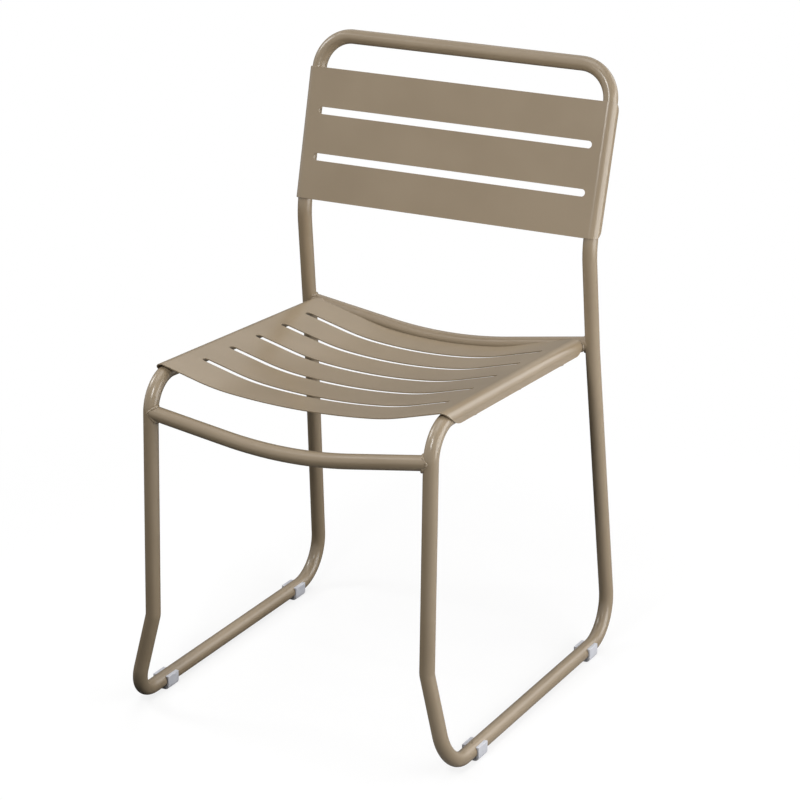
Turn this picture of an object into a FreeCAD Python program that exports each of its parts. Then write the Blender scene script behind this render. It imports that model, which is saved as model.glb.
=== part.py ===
import FreeCAD, Part
import math
import os

Vector = FreeCAD.Vector

# Metal dining chair: a bent tube sled frame with a slotted sheet seat and back.
# Millimetres. +Z is up, the sitter faces -Y, and +X is the sitter's left.
# While it is built, y is zero where the uprights cross the rear stretcher.

# Tube and sheet
TUBE_DIAMETER = 19.0
TUBE_WALL = 1.2
SHEET_THICKNESS = 1.8
SHEET_CLEARANCE = 0.3
OVERRUN = 30.0

# Heights of tube centre lines above the floor, and of the bends between them
FRONT_KINK_HEIGHT = 132.5
RAIL_FRONT_HEIGHT = 444.3
RAIL_REAR_HEIGHT = 421.4
LEG_BEND_BELOW_RAIL = 5.3
BACK_BEND_ABOVE_RAIL = 136.0
HOOP_ABOVE_BACK_BEND = 221.9

# Half widths at the rails, and how far the other bends lie outside them
RAIL_HALF_WIDTH = 193.5
RAIL_TOE_IN = 4.2
UPRIGHT_GAP = 0.3
BACK_BEND_INWARD = 1.2
HOOP_OUTWARD = 3.1
REAR_SPLAY = 12.9
FRONT_SPLAY = 29.7

# Depth and lean
RAIL_DEPTH = 423.8
FRONT_LEAN_DEGREES = 1.7
REAR_RAKE_DEGREES = 6.05
RECLINE_DEGREES = 15.54

# Centre-line bend radii
BEND_RAIL_FRONT = 45.0
BEND_FLOOR_FRONT = 45.0
BEND_FLOOR_REAR = 55.0
BEND_FRONT_KINK = 28.0
BEND_REAR_SPLAY = 400.0
BEND_BACK = 110.0
BEND_HOOP = 45.0

# Stretchers: a wide bend in the middle and straight ends that rise
STRETCHER_BEND = 564.0
STRETCHER_RISE_DEGREES = 8.8
FRONT_STRETCHER_BELOW_RAIL = 67.0
REAR_STRETCHER_ABOVE_RAIL = 1.4

# Joint between hoop and side frame, hidden under the back panel's rolled sides
SLEEVE_LENGTH = 60.0
SLEEVE_WALL = 1.5
SLEEVE_CLEARANCE = 0.15
JOINT_SHARE = 0.5

# Rolled sides: each goes round the tube to its outside and runs straight on past the tube's
# centre line. A rounded corner has a length along the tube and a rise from the rolled edge.
SEAT_SIDE_DROP = 7.0
SEAT_FRONT_CORNER_LENGTH = 35.0
SEAT_FRONT_CORNER_RISE = 15.0
SEAT_REAR_CORNER_LENGTH = 20.0
SEAT_REAR_CORNER_RISE = 9.5
BACK_SIDE_DROP = 4.0
BACK_CORNER_LENGTH = 14.0
BACK_CORNER_RISE = 12.5

# Seat panel: dish depths are from the rail's centre line down to the sheet's underside
SEAT_FRONT_SETBACK = 25.0
SEAT_REAR_GAP = 5.0
SEAT_FRONT_DISH = 17.0
SEAT_SLAT_DISH = 20.5
SEAT_REAR_DISH = 23.0
SEAT_SHOULDER_BEND = 300.0
SEAT_SIDE_DEGREES = 15.0
SEAT_MIDDLE_DEGREES = 6.0
SEAT_SLOT_COUNT = 5
SEAT_SLOT_WIDTH = 9.6
SEAT_SLOT_INSET = 17.0
SEAT_SLAT_WIDTH = 55.4

# Back panel
BACK_PANEL_ABOVE_BEND = 11.8
BACK_SLAT_COUNT = 3
BACK_SLAT_WIDTH = 51.8
BACK_SLOT_WIDTH = 9.45
BACK_SLOT_INSET = 12.0

# Glides: C-shaped clips under the runners
GLIDE_LENGTH = 24.5
GLIDE_SOLE = 2.5
GLIDE_WALL = 2.2
GLIDE_FOOT_RADIUS = 6.0
GLIDE_ARM_HEIGHT = 6.6
GLIDE_CLEARANCE = 0.1
GLIDE_FROM_FRONT = 75.0
GLIDE_FROM_REAR = 73.8

# Vent hole in the top of the left runner, between the front clip's arms
VENT_DIAMETER = 2.5
VENT_AHEAD_OF_GLIDE = 8.5

# Welds
WELD_LEG_ACROSS = 1.9
WELD_LEG_ALONG = 2.3
TACK_RADIUS = 2.2
TACK_LENGTH = 10.0
TACK_END_SHARE = 0.12
SEAT_TACK_COUNT = 3
BACK_TACK_COUNT = 2

# Derived sizes
TUBE_RADIUS = TUBE_DIAMETER / 2
BORE_RADIUS = TUBE_RADIUS - TUBE_WALL
WRAP_INNER = TUBE_RADIUS + SHEET_CLEARANCE
WRAP_OUTER = WRAP_INNER + SHEET_THICKNESS
RUNNER_HEIGHT = TUBE_RADIUS + GLIDE_SOLE
FRONT_LEAN = math.radians(FRONT_LEAN_DEGREES)
REAR_RAKE = math.radians(REAR_RAKE_DEGREES)
RECLINE = math.radians(RECLINE_DEGREES)
STRETCHER_RISE = math.radians(STRETCHER_RISE_DEGREES)

RAIL_REAR_HALF = RAIL_HALF_WIDTH - RAIL_TOE_IN
UPRIGHT_HALF = RAIL_REAR_HALF + TUBE_DIAMETER + UPRIGHT_GAP
BACK_BEND_HALF = UPRIGHT_HALF - BACK_BEND_INWARD
HOOP_HALF = BACK_BEND_HALF + HOOP_OUTWARD
REAR_FLOOR_HALF = UPRIGHT_HALF + REAR_SPLAY
FRONT_FLOOR_HALF = RAIL_HALF_WIDTH + FRONT_SPLAY

FRONT_STRETCHER_HEIGHT = RAIL_FRONT_HEIGHT - FRONT_STRETCHER_BELOW_RAIL
LEG_BEND_HEIGHT = RAIL_REAR_HEIGHT - LEG_BEND_BELOW_RAIL
BACK_BEND_HEIGHT = RAIL_REAR_HEIGHT + BACK_BEND_ABOVE_RAIL
HOOP_HEIGHT = BACK_BEND_HEIGHT + HOOP_ABOVE_BACK_BEND

SEAT_FRONT_Y = SEAT_FRONT_SETBACK - RAIL_DEPTH
SEAT_REAR_Y = -TUBE_RADIUS - SEAT_REAR_GAP
SEAT_SLOT_PITCH = SEAT_SLAT_WIDTH + SEAT_SLOT_WIDTH
SEAT_FIRST_SLOT_Y = SEAT_REAR_Y - SEAT_SLAT_WIDTH - SEAT_SLOT_WIDTH / 2
SEAT_LAST_SLOT_Y = SEAT_FIRST_SLOT_Y - (SEAT_SLOT_COUNT - 1) * SEAT_SLOT_PITCH
BACK_PANEL_HEIGHT = BACK_SLAT_COUNT * BACK_SLAT_WIDTH + (BACK_SLAT_COUNT - 1) * BACK_SLOT_WIDTH

SIDES = {"left": 1, "right": -1}


# Centre lines

def rear_leg_y(height):
    """Where the raked upright and rear leg stand, front to back, at a height."""
    return (LEG_BEND_HEIGHT - height) * math.tan(REAR_RAKE)


def front_leg_y(height):
    """Where the leaning front leg stands, front to back, at a height."""
    return -RAIL_DEPTH - (RAIL_FRONT_HEIGHT - height) * math.tan(FRONT_LEAN)


def hoop_corner(side):
    """The virtual corner at the top of the back."""
    bend = back_bend(side)
    return Vector(side * HOOP_HALF, bend.y + HOOP_ABOVE_BACK_BEND * math.tan(RECLINE), HOOP_HEIGHT)


def back_bend(side):
    """The bend just below the back panel, where the upright starts to recline."""
    return Vector(side * BACK_BEND_HALF, rear_leg_y(BACK_BEND_HEIGHT), BACK_BEND_HEIGHT)


def along_back(side, distance):
    """The point of an upright's centre line a distance above its bend."""
    low = back_bend(side)
    direction = (hoop_corner(side) - low).normalize()
    return low + direction * distance


def rail_point(y):
    """The point of the left seat rail's centre line at a place front to back."""
    share = -y / RAIL_DEPTH
    half = RAIL_REAR_HALF + RAIL_TOE_IN * share
    height = RAIL_REAR_HEIGHT + (RAIL_FRONT_HEIGHT - RAIL_REAR_HEIGHT) * share
    return Vector(half, y, height)


def tube_path(corners, bend_radii):
    """Straight runs joined by tangent arcs, one radius for each inner corner."""
    edges = []
    start = corners[0]
    for before, corner, after, radius in zip(corners, corners[1:], corners[2:], bend_radii):
        back = (before - corner).normalize()
        ahead = (after - corner).normalize()
        half_turn = (math.pi - back.getAngle(ahead)) / 2
        reach = radius * math.tan(half_turn)
        entry = corner + back * reach
        leave = corner + ahead * reach
        inward = (back + ahead).normalize()
        middle = corner + inward * (radius / math.cos(half_turn) - radius)
        edges.append(Part.LineSegment(start, entry).toShape())
        edges.append(Part.Arc(entry, middle, leave).toShape())
        start = leave
    edges.append(Part.LineSegment(start, corners[-1]).toShape())
    return Part.Wire(edges)


def side_frame_path():
    """Upright, rear leg, runner, front leg and seat rail as one bent line."""
    corners = [
        along_back(1, BACK_PANEL_ABOVE_BEND + BACK_PANEL_HEIGHT * JOINT_SHARE),
        back_bend(1),
        Vector(UPRIGHT_HALF, rear_leg_y(LEG_BEND_HEIGHT), LEG_BEND_HEIGHT),
        Vector(REAR_FLOOR_HALF, rear_leg_y(RUNNER_HEIGHT), RUNNER_HEIGHT),
        Vector(FRONT_FLOOR_HALF, front_leg_y(RUNNER_HEIGHT), RUNNER_HEIGHT),
        Vector(RAIL_HALF_WIDTH, front_leg_y(FRONT_KINK_HEIGHT), FRONT_KINK_HEIGHT),
        rail_point(-RAIL_DEPTH),
        rail_point(0),
    ]
    radii = [
        BEND_BACK,
        BEND_REAR_SPLAY,
        BEND_FLOOR_REAR,
        BEND_FLOOR_FRONT,
        BEND_FRONT_KINK,
        BEND_RAIL_FRONT,
    ]
    return tube_path(corners, radii)


def upright_path():
    """The straight part of the side frame that passes the rear stretcher."""
    low = Vector(UPRIGHT_HALF, rear_leg_y(LEG_BEND_HEIGHT), LEG_BEND_HEIGHT)
    direction = (back_bend(1) - low).normalize()
    return tube_path([low - direction * TUBE_DIAMETER, low + direction * 2 * TUBE_DIAMETER], [])


def rail_path():
    """The seat rail from its middle to the rear stretcher's centre line."""
    return tube_path([rail_point(-RAIL_DEPTH / 2), rail_point(0)], [])


def leg_top_path():
    """The bend from front leg to seat rail, with half of each."""
    height = RAIL_FRONT_HEIGHT / 2
    low = Vector(RAIL_HALF_WIDTH, front_leg_y(height), height)
    high = rail_point(-RAIL_DEPTH / 2)
    return tube_path([low, rail_point(-RAIL_DEPTH), high], [BEND_RAIL_FRONT])


def hoop_path():
    """The inverted U from the joint on one upright to the joint on the other."""
    rise = BACK_PANEL_ABOVE_BEND + BACK_PANEL_HEIGHT * JOINT_SHARE
    corners = [along_back(1, rise), hoop_corner(1), hoop_corner(-1), along_back(-1, rise)]
    return tube_path(corners, [BEND_HOOP, BEND_HOOP])


def stretcher_rise(half_width):
    """How far a stretcher's centre line rises from its middle to a half width."""
    arc_half = STRETCHER_BEND * math.sin(STRETCHER_RISE)
    arc_rise = STRETCHER_BEND * (1 - math.cos(STRETCHER_RISE))
    return arc_rise + (half_width - arc_half) * math.tan(STRETCHER_RISE)


def stretcher_path(half_width, y, middle_height):
    """A bowed tube with its ends at plus and minus the half width."""
    end_height = middle_height + stretcher_rise(half_width)
    corner_height = end_height - half_width * math.tan(STRETCHER_RISE)
    ends = [Vector(side * half_width, y, end_height) for side in SIDES.values()]
    return tube_path([ends[0], Vector(0, y, corner_height), ends[1]], [STRETCHER_BEND])


# Tubes

def mirrored(shape):
    """The right-hand twin of a left-hand shape, or the other way round."""
    return shape.mirror(Vector(0, 0, 0), Vector(1, 0, 0))


def rod(path, radius):
    """A round bar along a centre line."""
    first = path.OrderedEdges[0]
    start = first.valueAt(first.FirstParameter)
    direction = first.tangentAt(first.FirstParameter)
    disc = Part.Face(Part.Wire(Part.makeCircle(radius, start, direction)))
    return path.makePipe(disc).Solids[0]


def between(bar, coped):
    """The middle of a bar, cut by a tube on the left and by its mirror image on the right."""
    pieces = bar.cut(coped).cut(mirrored(coped)).Solids
    return max(pieces, key=lambda piece: piece.Volume)


class Tube:
    """A tube's centre line, its outside as a solid bar, and its bore."""

    def __init__(self, path):
        self.path = path
        self.outside = rod(path, TUBE_RADIUS)
        self.bore = rod(path, BORE_RADIUS)

    def hollow(self):
        return self.outside.cut(self.bore)

    def around(self, margin):
        """A bar that is thicker than the tube by a margin all round."""
        return rod(self.path, TUBE_RADIUS + margin)


def report_sweep(name, tube):
    """Print a bar's length and its volume as a share of section times length."""
    expected = math.pi * TUBE_RADIUS ** 2 * tube.path.Length
    print(name, "length", round(tube.path.Length, 1), "share", round(tube.outside.Volume / expected, 5))


def sleeve():
    """The spigot that joins hoop and side frame inside the left tube."""
    middle = BACK_PANEL_ABOVE_BEND + BACK_PANEL_HEIGHT * JOINT_SHARE
    low = along_back(1, middle - SLEEVE_LENGTH / 2)
    direction = (along_back(1, middle) - low).normalize()
    radius = BORE_RADIUS - SLEEVE_CLEARANCE
    outside = Part.makeCylinder(radius, SLEEVE_LENGTH, low, direction)
    inside = Part.makeCylinder(radius - SLEEVE_WALL, SLEEVE_LENGTH, low, direction)
    return outside.cut(inside)


# Sheet panels

def rolled_side(across, radius, start, drop, place):
    """The end of a sheet's section: an arc round the tube, then a straight run past its middle.

    The arc's angles are counted outwards from where the sheet's face is square to the tube.
    """
    points = []
    for angle in (start, (start + math.pi / 2) / 2, math.pi / 2):
        points.append(place(across + radius * math.sin(angle), radius * math.cos(angle)))
    arc = Part.Arc(*points).toShape()
    run = Part.LineSegment(points[-1], place(across + radius, -drop)).toShape()
    return [arc, run]


def seat_half(y, dish, offset):
    """Edges of the left half of the seat's section, from the dish out to the rolled edge.

    The section is a wide arc, a shoulder arc, a straight slope and the side rolled over the
    rail. The offset is zero for the underside and the sheet's thickness for the top.
    """
    slope = math.radians(SEAT_SIDE_DEGREES)
    blend = math.radians(SEAT_MIDDLE_DEGREES)
    rail = rail_point(y)

    # The wide arc's radius follows from the width and the depth of the dish
    across = rail.x - WRAP_INNER * math.sin(slope)
    across -= SEAT_SHOULDER_BEND * (math.sin(slope) - math.sin(blend))
    climb = dish + WRAP_INNER * math.cos(slope)
    climb -= SEAT_SHOULDER_BEND * (math.cos(blend) - math.cos(slope))
    spread = math.sin(blend) * math.sin(slope) - math.cos(slope) * (1 - math.cos(blend))
    wide_bend = (across * math.sin(slope) - climb * math.cos(slope)) / spread

    def place(x, z):
        return Vector(x, y, rail.z + z)

    def on_wide_arc(angle):
        radius = wide_bend - offset
        return place(radius * math.sin(angle), wide_bend - dish - radius * math.cos(angle))

    def on_shoulder(angle):
        radius = SEAT_SHOULDER_BEND - offset
        gap = wide_bend - SEAT_SHOULDER_BEND
        x = gap * math.sin(blend) + radius * math.sin(angle)
        z = wide_bend - dish - gap * math.cos(blend) - radius * math.cos(angle)
        return place(x, z)

    side = rolled_side(rail.x, WRAP_INNER + offset, -slope, SEAT_SIDE_DROP, place)
    wide = (on_wide_arc(-blend), on_wide_arc(0), on_wide_arc(blend))
    shoulder = (on_shoulder(blend), on_shoulder((blend + slope) / 2), on_shoulder(slope))
    slope_end = side[0].valueAt(side[0].FirstParameter)
    return [
        Part.Arc(*wide).toShape(),
        Part.Arc(*shoulder).toShape(),
        Part.LineSegment(shoulder[-1], slope_end).toShape(),
    ] + side


def closed_section(under, over):
    """One closed wire from the left halves of a sheet's two faces."""
    loop = []
    for half in (under, over):
        loop += half + [mirrored(edge) for edge in half[1:]]
    for sign in SIDES.values():
        low = under[-1].valueAt(under[-1].LastParameter)
        high = over[-1].valueAt(over[-1].LastParameter)
        ends = [Vector(sign * point.x, point.y, point.z) for point in (low, high)]
        loop.append(Part.LineSegment(*ends).toShape())
    return Part.Wire(Part.sortEdges(loop)[0])


def seat_section(y, dish):
    return closed_section(seat_half(y, dish, 0), seat_half(y, dish, SHEET_THICKNESS))


def stadium(half_length, width, depth):
    """A round-ended slot cutter: long in X, its width in Y, centred, deep in Z."""
    reach = half_length - width / 2
    block = Part.makeBox(2 * reach, width, depth, Vector(-reach, -width / 2, -depth / 2))
    for sign in SIDES.values():
        end = Part.makeCylinder(width / 2, depth, Vector(sign * reach, 0, -depth / 2))
        block = block.fuse(end)
    return block.removeSplitter()


def corner_cutter(length, rise, drop):
    """What a rounded corner takes off a rolled side, beyond the tube's centre line.

    The tube runs along Y, the sheet's end is at the origin and the sheet lies towards +Y.
    The corner's arc runs into the rolled edge, which lies the drop below the centre line.
    """
    low = -drop - SHEET_CLEARANCE
    height = rise + SHEET_CLEARANCE
    radius = (length ** 2 + height ** 2) / (2 * height)
    corner = Vector(0, -OVERRUN, low - OVERRUN)
    block = Part.makeBox(2 * OVERRUN, length + OVERRUN, height + OVERRUN, corner)
    centre = Vector(-OVERRUN, length, low + radius)
    core = Part.makeCylinder(radius, 4 * OVERRUN, centre, Vector(1, 0, 0))
    return block.cut(core).Solids[0]


def round_corners(sheet, near, far, near_cutter, far_cutter):
    """Round the ends of both rolled sides. The left tube's line runs from near to far."""
    along = (far - near).normalize()
    turn = FreeCAD.Rotation(Vector(1, 0, 0), along, Vector(0, 0, 1), "YXZ")
    far_corner = far_cutter.mirror(Vector(0, 0, 0), Vector(0, 1, 0))
    for cutter, point in ((near_cutter, near), (far_corner, far)):
        corner = cutter.copy()
        corner.Placement = FreeCAD.Placement(point, turn)
        sheet = sheet.cut(corner).cut(mirrored(corner))
    return sheet


def seat_panel():
    """The dished and slotted sheet with its sides rolled over the rails."""
    sections = [
        seat_section(SEAT_FRONT_Y, SEAT_FRONT_DISH),
        seat_section(SEAT_LAST_SLOT_Y, SEAT_SLAT_DISH),
        seat_section(SEAT_REAR_Y, SEAT_REAR_DISH),
    ]
    sheet = Part.makeLoft(sections, True, True)

    half_length = RAIL_REAR_HALF - SEAT_SLOT_INSET
    cutter = stadium(half_length, SEAT_SLOT_WIDTH, 2 * RAIL_FRONT_HEIGHT)
    for index in range(SEAT_SLOT_COUNT):
        slot = cutter.copy()
        slot.translate(Vector(0, SEAT_FIRST_SLOT_Y - index * SEAT_SLOT_PITCH, RAIL_REAR_HEIGHT))
        sheet = sheet.cut(slot)

    # Rounded corners of the blank, which end up on the outside of the rails
    front = corner_cutter(SEAT_FRONT_CORNER_LENGTH, SEAT_FRONT_CORNER_RISE, SEAT_SIDE_DROP)
    rear = corner_cutter(SEAT_REAR_CORNER_LENGTH, SEAT_REAR_CORNER_RISE, SEAT_SIDE_DROP)
    ends = [rail_point(y) for y in (SEAT_FRONT_Y, SEAT_REAR_Y)]
    return round_corners(sheet, *ends, front, rear)


def back_frame():
    """Where the back panel's own flat frame stands: X across, Y up the back, Z forwards."""
    up = Vector(0, math.sin(RECLINE), math.cos(RECLINE))
    forward = Vector(0, -math.cos(RECLINE), math.sin(RECLINE))
    low = back_bend(1)
    base = Vector(0, low.y, low.z)
    return FreeCAD.Placement(base, FreeCAD.Rotation(Vector(1, 0, 0), up, forward, "XYZ"))


def back_section(rise):
    """The back panel's section at a height up the back, in the panel's own frame."""
    across = along_back(1, rise / math.cos(back_spread())).x

    def place(x, z):
        return Vector(x, rise, z)

    halves = []
    for radius in (WRAP_INNER, WRAP_OUTER):
        flat = Part.LineSegment(place(-across, radius), place(across, radius)).toShape()
        halves.append([flat] + rolled_side(across, radius, 0, BACK_SIDE_DROP, place))
    return closed_section(*halves)


def back_spread():
    """The angle by which the uprights spread sideways over the panel."""
    return math.atan2(HOOP_OUTWARD, HOOP_ABOVE_BACK_BEND / math.cos(RECLINE))


def back_panel():
    """The slotted sheet with its sides rolled round the uprights."""
    low = BACK_PANEL_ABOVE_BEND
    high = low + BACK_PANEL_HEIGHT
    sheet = Part.makeLoft([back_section(low), back_section(high)], True, True)

    half_length = BACK_BEND_HALF - BACK_SLOT_INSET
    cutter = stadium(half_length, BACK_SLOT_WIDTH, 2 * OVERRUN)
    for index in range(1, BACK_SLAT_COUNT):
        slot = cutter.copy()
        rise = low + index * (BACK_SLAT_WIDTH + BACK_SLOT_WIDTH) - BACK_SLOT_WIDTH / 2
        slot.translate(Vector(0, rise, 0))
        sheet = sheet.cut(slot)

    cutter = corner_cutter(BACK_CORNER_LENGTH, BACK_CORNER_RISE, BACK_SIDE_DROP)
    ends = [Vector(along_back(1, rise).x, rise, 0) for rise in (low, high)]
    sheet = round_corners(sheet, *ends, cutter, cutter)
    sheet.Placement = back_frame()
    return sheet


# Glides

def runner_frame():
    """The left runner's frame: Z along the runner forwards, Y up, its start at the rear corner."""
    rear = Vector(REAR_FLOOR_HALF, rear_leg_y(RUNNER_HEIGHT), RUNNER_HEIGHT)
    front = Vector(FRONT_FLOOR_HALF, front_leg_y(RUNNER_HEIGHT), RUNNER_HEIGHT)
    forward = (front - rear).normalize()
    up = Vector(0, 0, 1)
    rotation = FreeCAD.Rotation(up.cross(forward), up, forward, "ZYX")
    return FreeCAD.Placement(rear, rotation), (front - rear).Length


def glide():
    """A clip along Z, centred on the tube, with its sole down at minus Y."""
    half = TUBE_RADIUS + GLIDE_WALL
    bottom = -TUBE_RADIUS - GLIDE_SOLE
    height = GLIDE_ARM_HEIGHT - bottom
    block = Part.makeBox(2 * half, height, GLIDE_LENGTH, Vector(-half, bottom, -GLIDE_LENGTH / 2))
    feet = []
    for edge in block.Edges:
        middle = edge.CenterOfMass
        if abs(middle.z) < GLIDE_LENGTH / 4 and middle.y < bottom + height / 4:
            feet.append(edge)
    block = block.makeFillet(GLIDE_FOOT_RADIUS, feet)
    radius = TUBE_RADIUS + GLIDE_CLEARANCE
    bore = Part.makeCylinder(radius, 2 * GLIDE_LENGTH, Vector(0, 0, -GLIDE_LENGTH))
    return block.cut(bore)


def glides():
    """The front and the rear clip of the left runner."""
    frame, length = runner_frame()
    placed = {}
    for name, distance in (("front", length - GLIDE_FROM_FRONT), ("rear", GLIDE_FROM_REAR)):
        clip = glide()
        clip.translate(Vector(0, 0, distance))
        clip.Placement = frame.multiply(clip.Placement)
        placed["glide_" + name] = clip
    return placed


def vent_hole():
    """The drill that goes through the top wall of the left runner."""
    frame, length = runner_frame()
    distance = length - GLIDE_FROM_FRONT + VENT_AHEAD_OF_GLIDE
    centre = frame.multVec(Vector(0, 0, distance))
    return Part.makeCylinder(VENT_DIAMETER / 2, TUBE_DIAMETER, centre)


# Welds

def bead(carrier, branch, neighbours):
    """The weld in the corner between two tubes: near both, and inside no piece."""
    lump = carrier.around(WELD_LEG_ACROSS).common(branch.around(WELD_LEG_ALONG))
    for bar in [carrier.outside, branch.outside] + neighbours:
        lump = lump.cut(bar)
    return lump


def capsule(middle, direction):
    """A tack weld: a short round-ended lump along a direction."""
    start = middle - direction * (TACK_LENGTH / 2 - TACK_RADIUS)
    length = TACK_LENGTH - 2 * TACK_RADIUS
    lump = Part.makeCylinder(TACK_RADIUS, length, start, direction)
    for end in (start, start + direction * length):
        lump = lump.fuse(Part.makeSphere(TACK_RADIUS, end))
    return lump.removeSplitter()


def tack_shares(count):
    """Where tacks sit along an edge, evenly spread between its two ends."""
    span = 1 - 2 * TACK_END_SHARE
    return [TACK_END_SHARE + span * index / (count - 1) for index in range(count)]


def tacks(start, end, count, down, drop, sheet):
    """Tack welds between a left-hand tube and the rolled edge of a sheet.

    The tube's centre line runs from start to end. The rolled side stands outside it and its
    edge lies the drop below it.
    """
    run = end - start
    direction = Vector(run).normalize()
    bar = Part.makeCylinder(TUBE_RADIUS, run.Length, start, direction)
    edge = Vector(WRAP_INNER - TACK_RADIUS / 2, 0, 0) + down * drop
    lumps = [capsule(start + run * share + edge, direction) for share in tack_shares(count)]
    return Part.makeCompound(lumps).cut(bar).cut(sheet)


def seat_tacks(sheet):
    """Tack welds between the seat's rolled edge and the left rail."""
    start = rail_point(SEAT_FRONT_Y + SEAT_FRONT_CORNER_LENGTH)
    end = rail_point(SEAT_REAR_Y - SEAT_REAR_CORNER_LENGTH)
    return tacks(start, end, SEAT_TACK_COUNT, Vector(0, 0, -1), SEAT_SIDE_DROP, sheet)


def back_tacks(sheet):
    """Tack welds between the back panel's rolled edge and the left upright."""
    start = along_back(1, BACK_PANEL_ABOVE_BEND + BACK_CORNER_LENGTH)
    end = along_back(1, BACK_PANEL_ABOVE_BEND + BACK_PANEL_HEIGHT - BACK_CORNER_LENGTH)
    rearward = Vector(0, math.cos(RECLINE), -math.sin(RECLINE))
    return tacks(start, end, BACK_TACK_COUNT, rearward, BACK_SIDE_DROP, sheet)


def build():
    """All sub-parts, by node name."""
    hoop = Tube(hoop_path())
    front_height = FRONT_STRETCHER_HEIGHT
    front = Tube(stretcher_path(RAIL_HALF_WIDTH, front_leg_y(front_height), front_height))
    rear_height = RAIL_REAR_HEIGHT + REAR_STRETCHER_ABOVE_RAIL - stretcher_rise(RAIL_REAR_HALF)
    rear = Tube(stretcher_path(UPRIGHT_HALF, 0, rear_height))
    frame = Tube(side_frame_path())
    leg_top = Tube(leg_top_path())
    upright = Tube(upright_path())
    rail = Tube(rail_path())
    for name, tube in (("hoop", hoop), ("front", front), ("rear", rear), ("side", frame)):
        report_sweep(name, tube)

    # The front stretcher is coped to the legs, the rear one to the uprights, and the rails to it
    front_bar = between(front.outside, leg_top.outside)
    rear_bar = between(rear.outside, upright.outside)
    seat = seat_panel()
    back = back_panel()
    parts = {
        "seat_panel": seat,
        "back_panel": back,
        "back_hoop": hoop.hollow(),
        "front_stretcher": front_bar.cut(front.bore),
        "rear_stretcher": rear_bar.cut(rear.bore),
    }

    # The chair is the same on both sides but for the left runner's vent hole
    left = {
        "side_frame": frame.hollow().cut(rear_bar),
        "hoop_sleeve": sleeve(),
        "weld_front": bead(leg_top, front, []),
        "weld_rear": bead(upright, rear, [rail.outside]),
        "weld_rail": bead(rear, rail, [upright.around(WELD_LEG_ACROSS)]),
        "seat_tacks": seat_tacks(seat),
        "back_tacks": back_tacks(back),
    }
    left.update(glides())
    for name, shape in left.items():
        parts[name + "_left"] = shape
        parts[name + "_right"] = mirrored(shape)
    parts["side_frame_left"] = left["side_frame"].cut(vent_hole())
    return parts


def main():
    os.makedirs("parts", exist_ok=True)
    parts = build()
    whole = Part.makeCompound(list(parts.values()))
    box = whole.optimalBoundingBox(False, False)
    shift = Vector(0, -(box.YMin + box.YMax) / 2, -box.ZMin)
    print("size", round(box.XLength, 2), round(box.YLength, 2), round(box.ZLength, 2))
    print("shift", round(shift.y, 3), round(shift.z, 3))
    for node, shape in parts.items():
        moved = shape.copy()
        moved.translate(shift)
        print(node, "solids", len(moved.Solids), "valid", moved.isValid(), "volume", round(moved.Volume, 1))
        moved.exportStep("parts/" + node + ".step")


main()
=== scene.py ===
# %% [markdown]
# # A metal dining chair
# The real chair is two bent steel tubes, a hoop, two cross tubes and two slotted sheets, welded
# together and powder coated as one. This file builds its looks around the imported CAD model.
# Each piece is made in the order that a workshop makes it: bend the tubes, punch and roll the
# sheets, weld them, coat them and clip the plastic feet on.

import math
import random

import bmesh
import bpy
from mathutils import Matrix, Vector


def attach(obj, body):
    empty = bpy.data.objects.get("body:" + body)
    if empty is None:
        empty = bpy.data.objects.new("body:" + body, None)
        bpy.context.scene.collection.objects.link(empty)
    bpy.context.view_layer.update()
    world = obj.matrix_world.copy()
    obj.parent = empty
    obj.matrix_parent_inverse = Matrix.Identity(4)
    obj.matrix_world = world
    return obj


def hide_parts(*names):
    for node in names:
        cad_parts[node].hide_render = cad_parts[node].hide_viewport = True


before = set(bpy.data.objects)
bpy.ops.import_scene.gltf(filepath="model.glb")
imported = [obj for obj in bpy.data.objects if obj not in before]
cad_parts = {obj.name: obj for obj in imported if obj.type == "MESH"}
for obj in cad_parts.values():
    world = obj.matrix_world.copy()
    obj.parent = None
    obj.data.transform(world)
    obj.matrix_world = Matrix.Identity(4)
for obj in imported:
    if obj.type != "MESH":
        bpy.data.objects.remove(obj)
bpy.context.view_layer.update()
scene = bpy.context.scene
print("CAD nodes:", len(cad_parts))

# %% [markdown]
# Workshop drawings are in millimetres and Blender works in metres, so one helper turns a
# drawing's point into Blender's. The same points drive the CAD model.

# %% Millimetres to metres
MM_PER_M = 1000


def mm(*numbers):
    """A length or a point that is given in millimetres, in metres."""
    if len(numbers) == 1:
        return numbers[0] / MM_PER_M
    return Vector(numbers) / MM_PER_M


# %% [markdown]
# ## Where the photograph was taken from
# A product photograph is taken from far away with a long lens, so that a chair's lines stay
# nearly parallel. The tubes' centre lines give enough points to solve for the camera: 28
# degrees to the chair's left, 19 degrees up and 3.95 metres from the middle of the floor, with a
# 135 mm lens. Lamps and cards are placed by the same kind of angles, so a helper turns them into
# a direction.

# %% Camera
CAMERA_ANGLES = (27.81, 19.395)
CAMERA_PLACE = mm(1701.4, -3169.0, 1640.0)
SENSOR_WIDTH = 36.0
FOCAL_LENGTH = 135.4
LENS_SHIFT = (0.0009, 0.0016)


def towards(azimuth, elevation):
    """The direction from the chair to a place that is so many degrees to its left and up."""
    turn, lift = math.radians(azimuth), math.radians(elevation)
    return Vector((math.sin(turn) * math.cos(lift), -math.cos(turn) * math.cos(lift),
                   math.sin(lift)))


camera = bpy.data.objects.new("camera", bpy.data.cameras.new("camera"))
scene.collection.objects.link(camera)
scene.camera = camera
camera.data.sensor_width = SENSOR_WIDTH
camera.data.lens = FOCAL_LENGTH
camera.data.shift_x, camera.data.shift_y = LENS_SHIFT
camera.rotation_mode = "QUATERNION"
camera.location = CAMERA_PLACE
camera.rotation_quaternion = towards(*CAMERA_ANGLES).to_track_quat("Z", "Y")
print("camera stands", round(CAMERA_PLACE.length, 2), "m from the middle of the floor")

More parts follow.
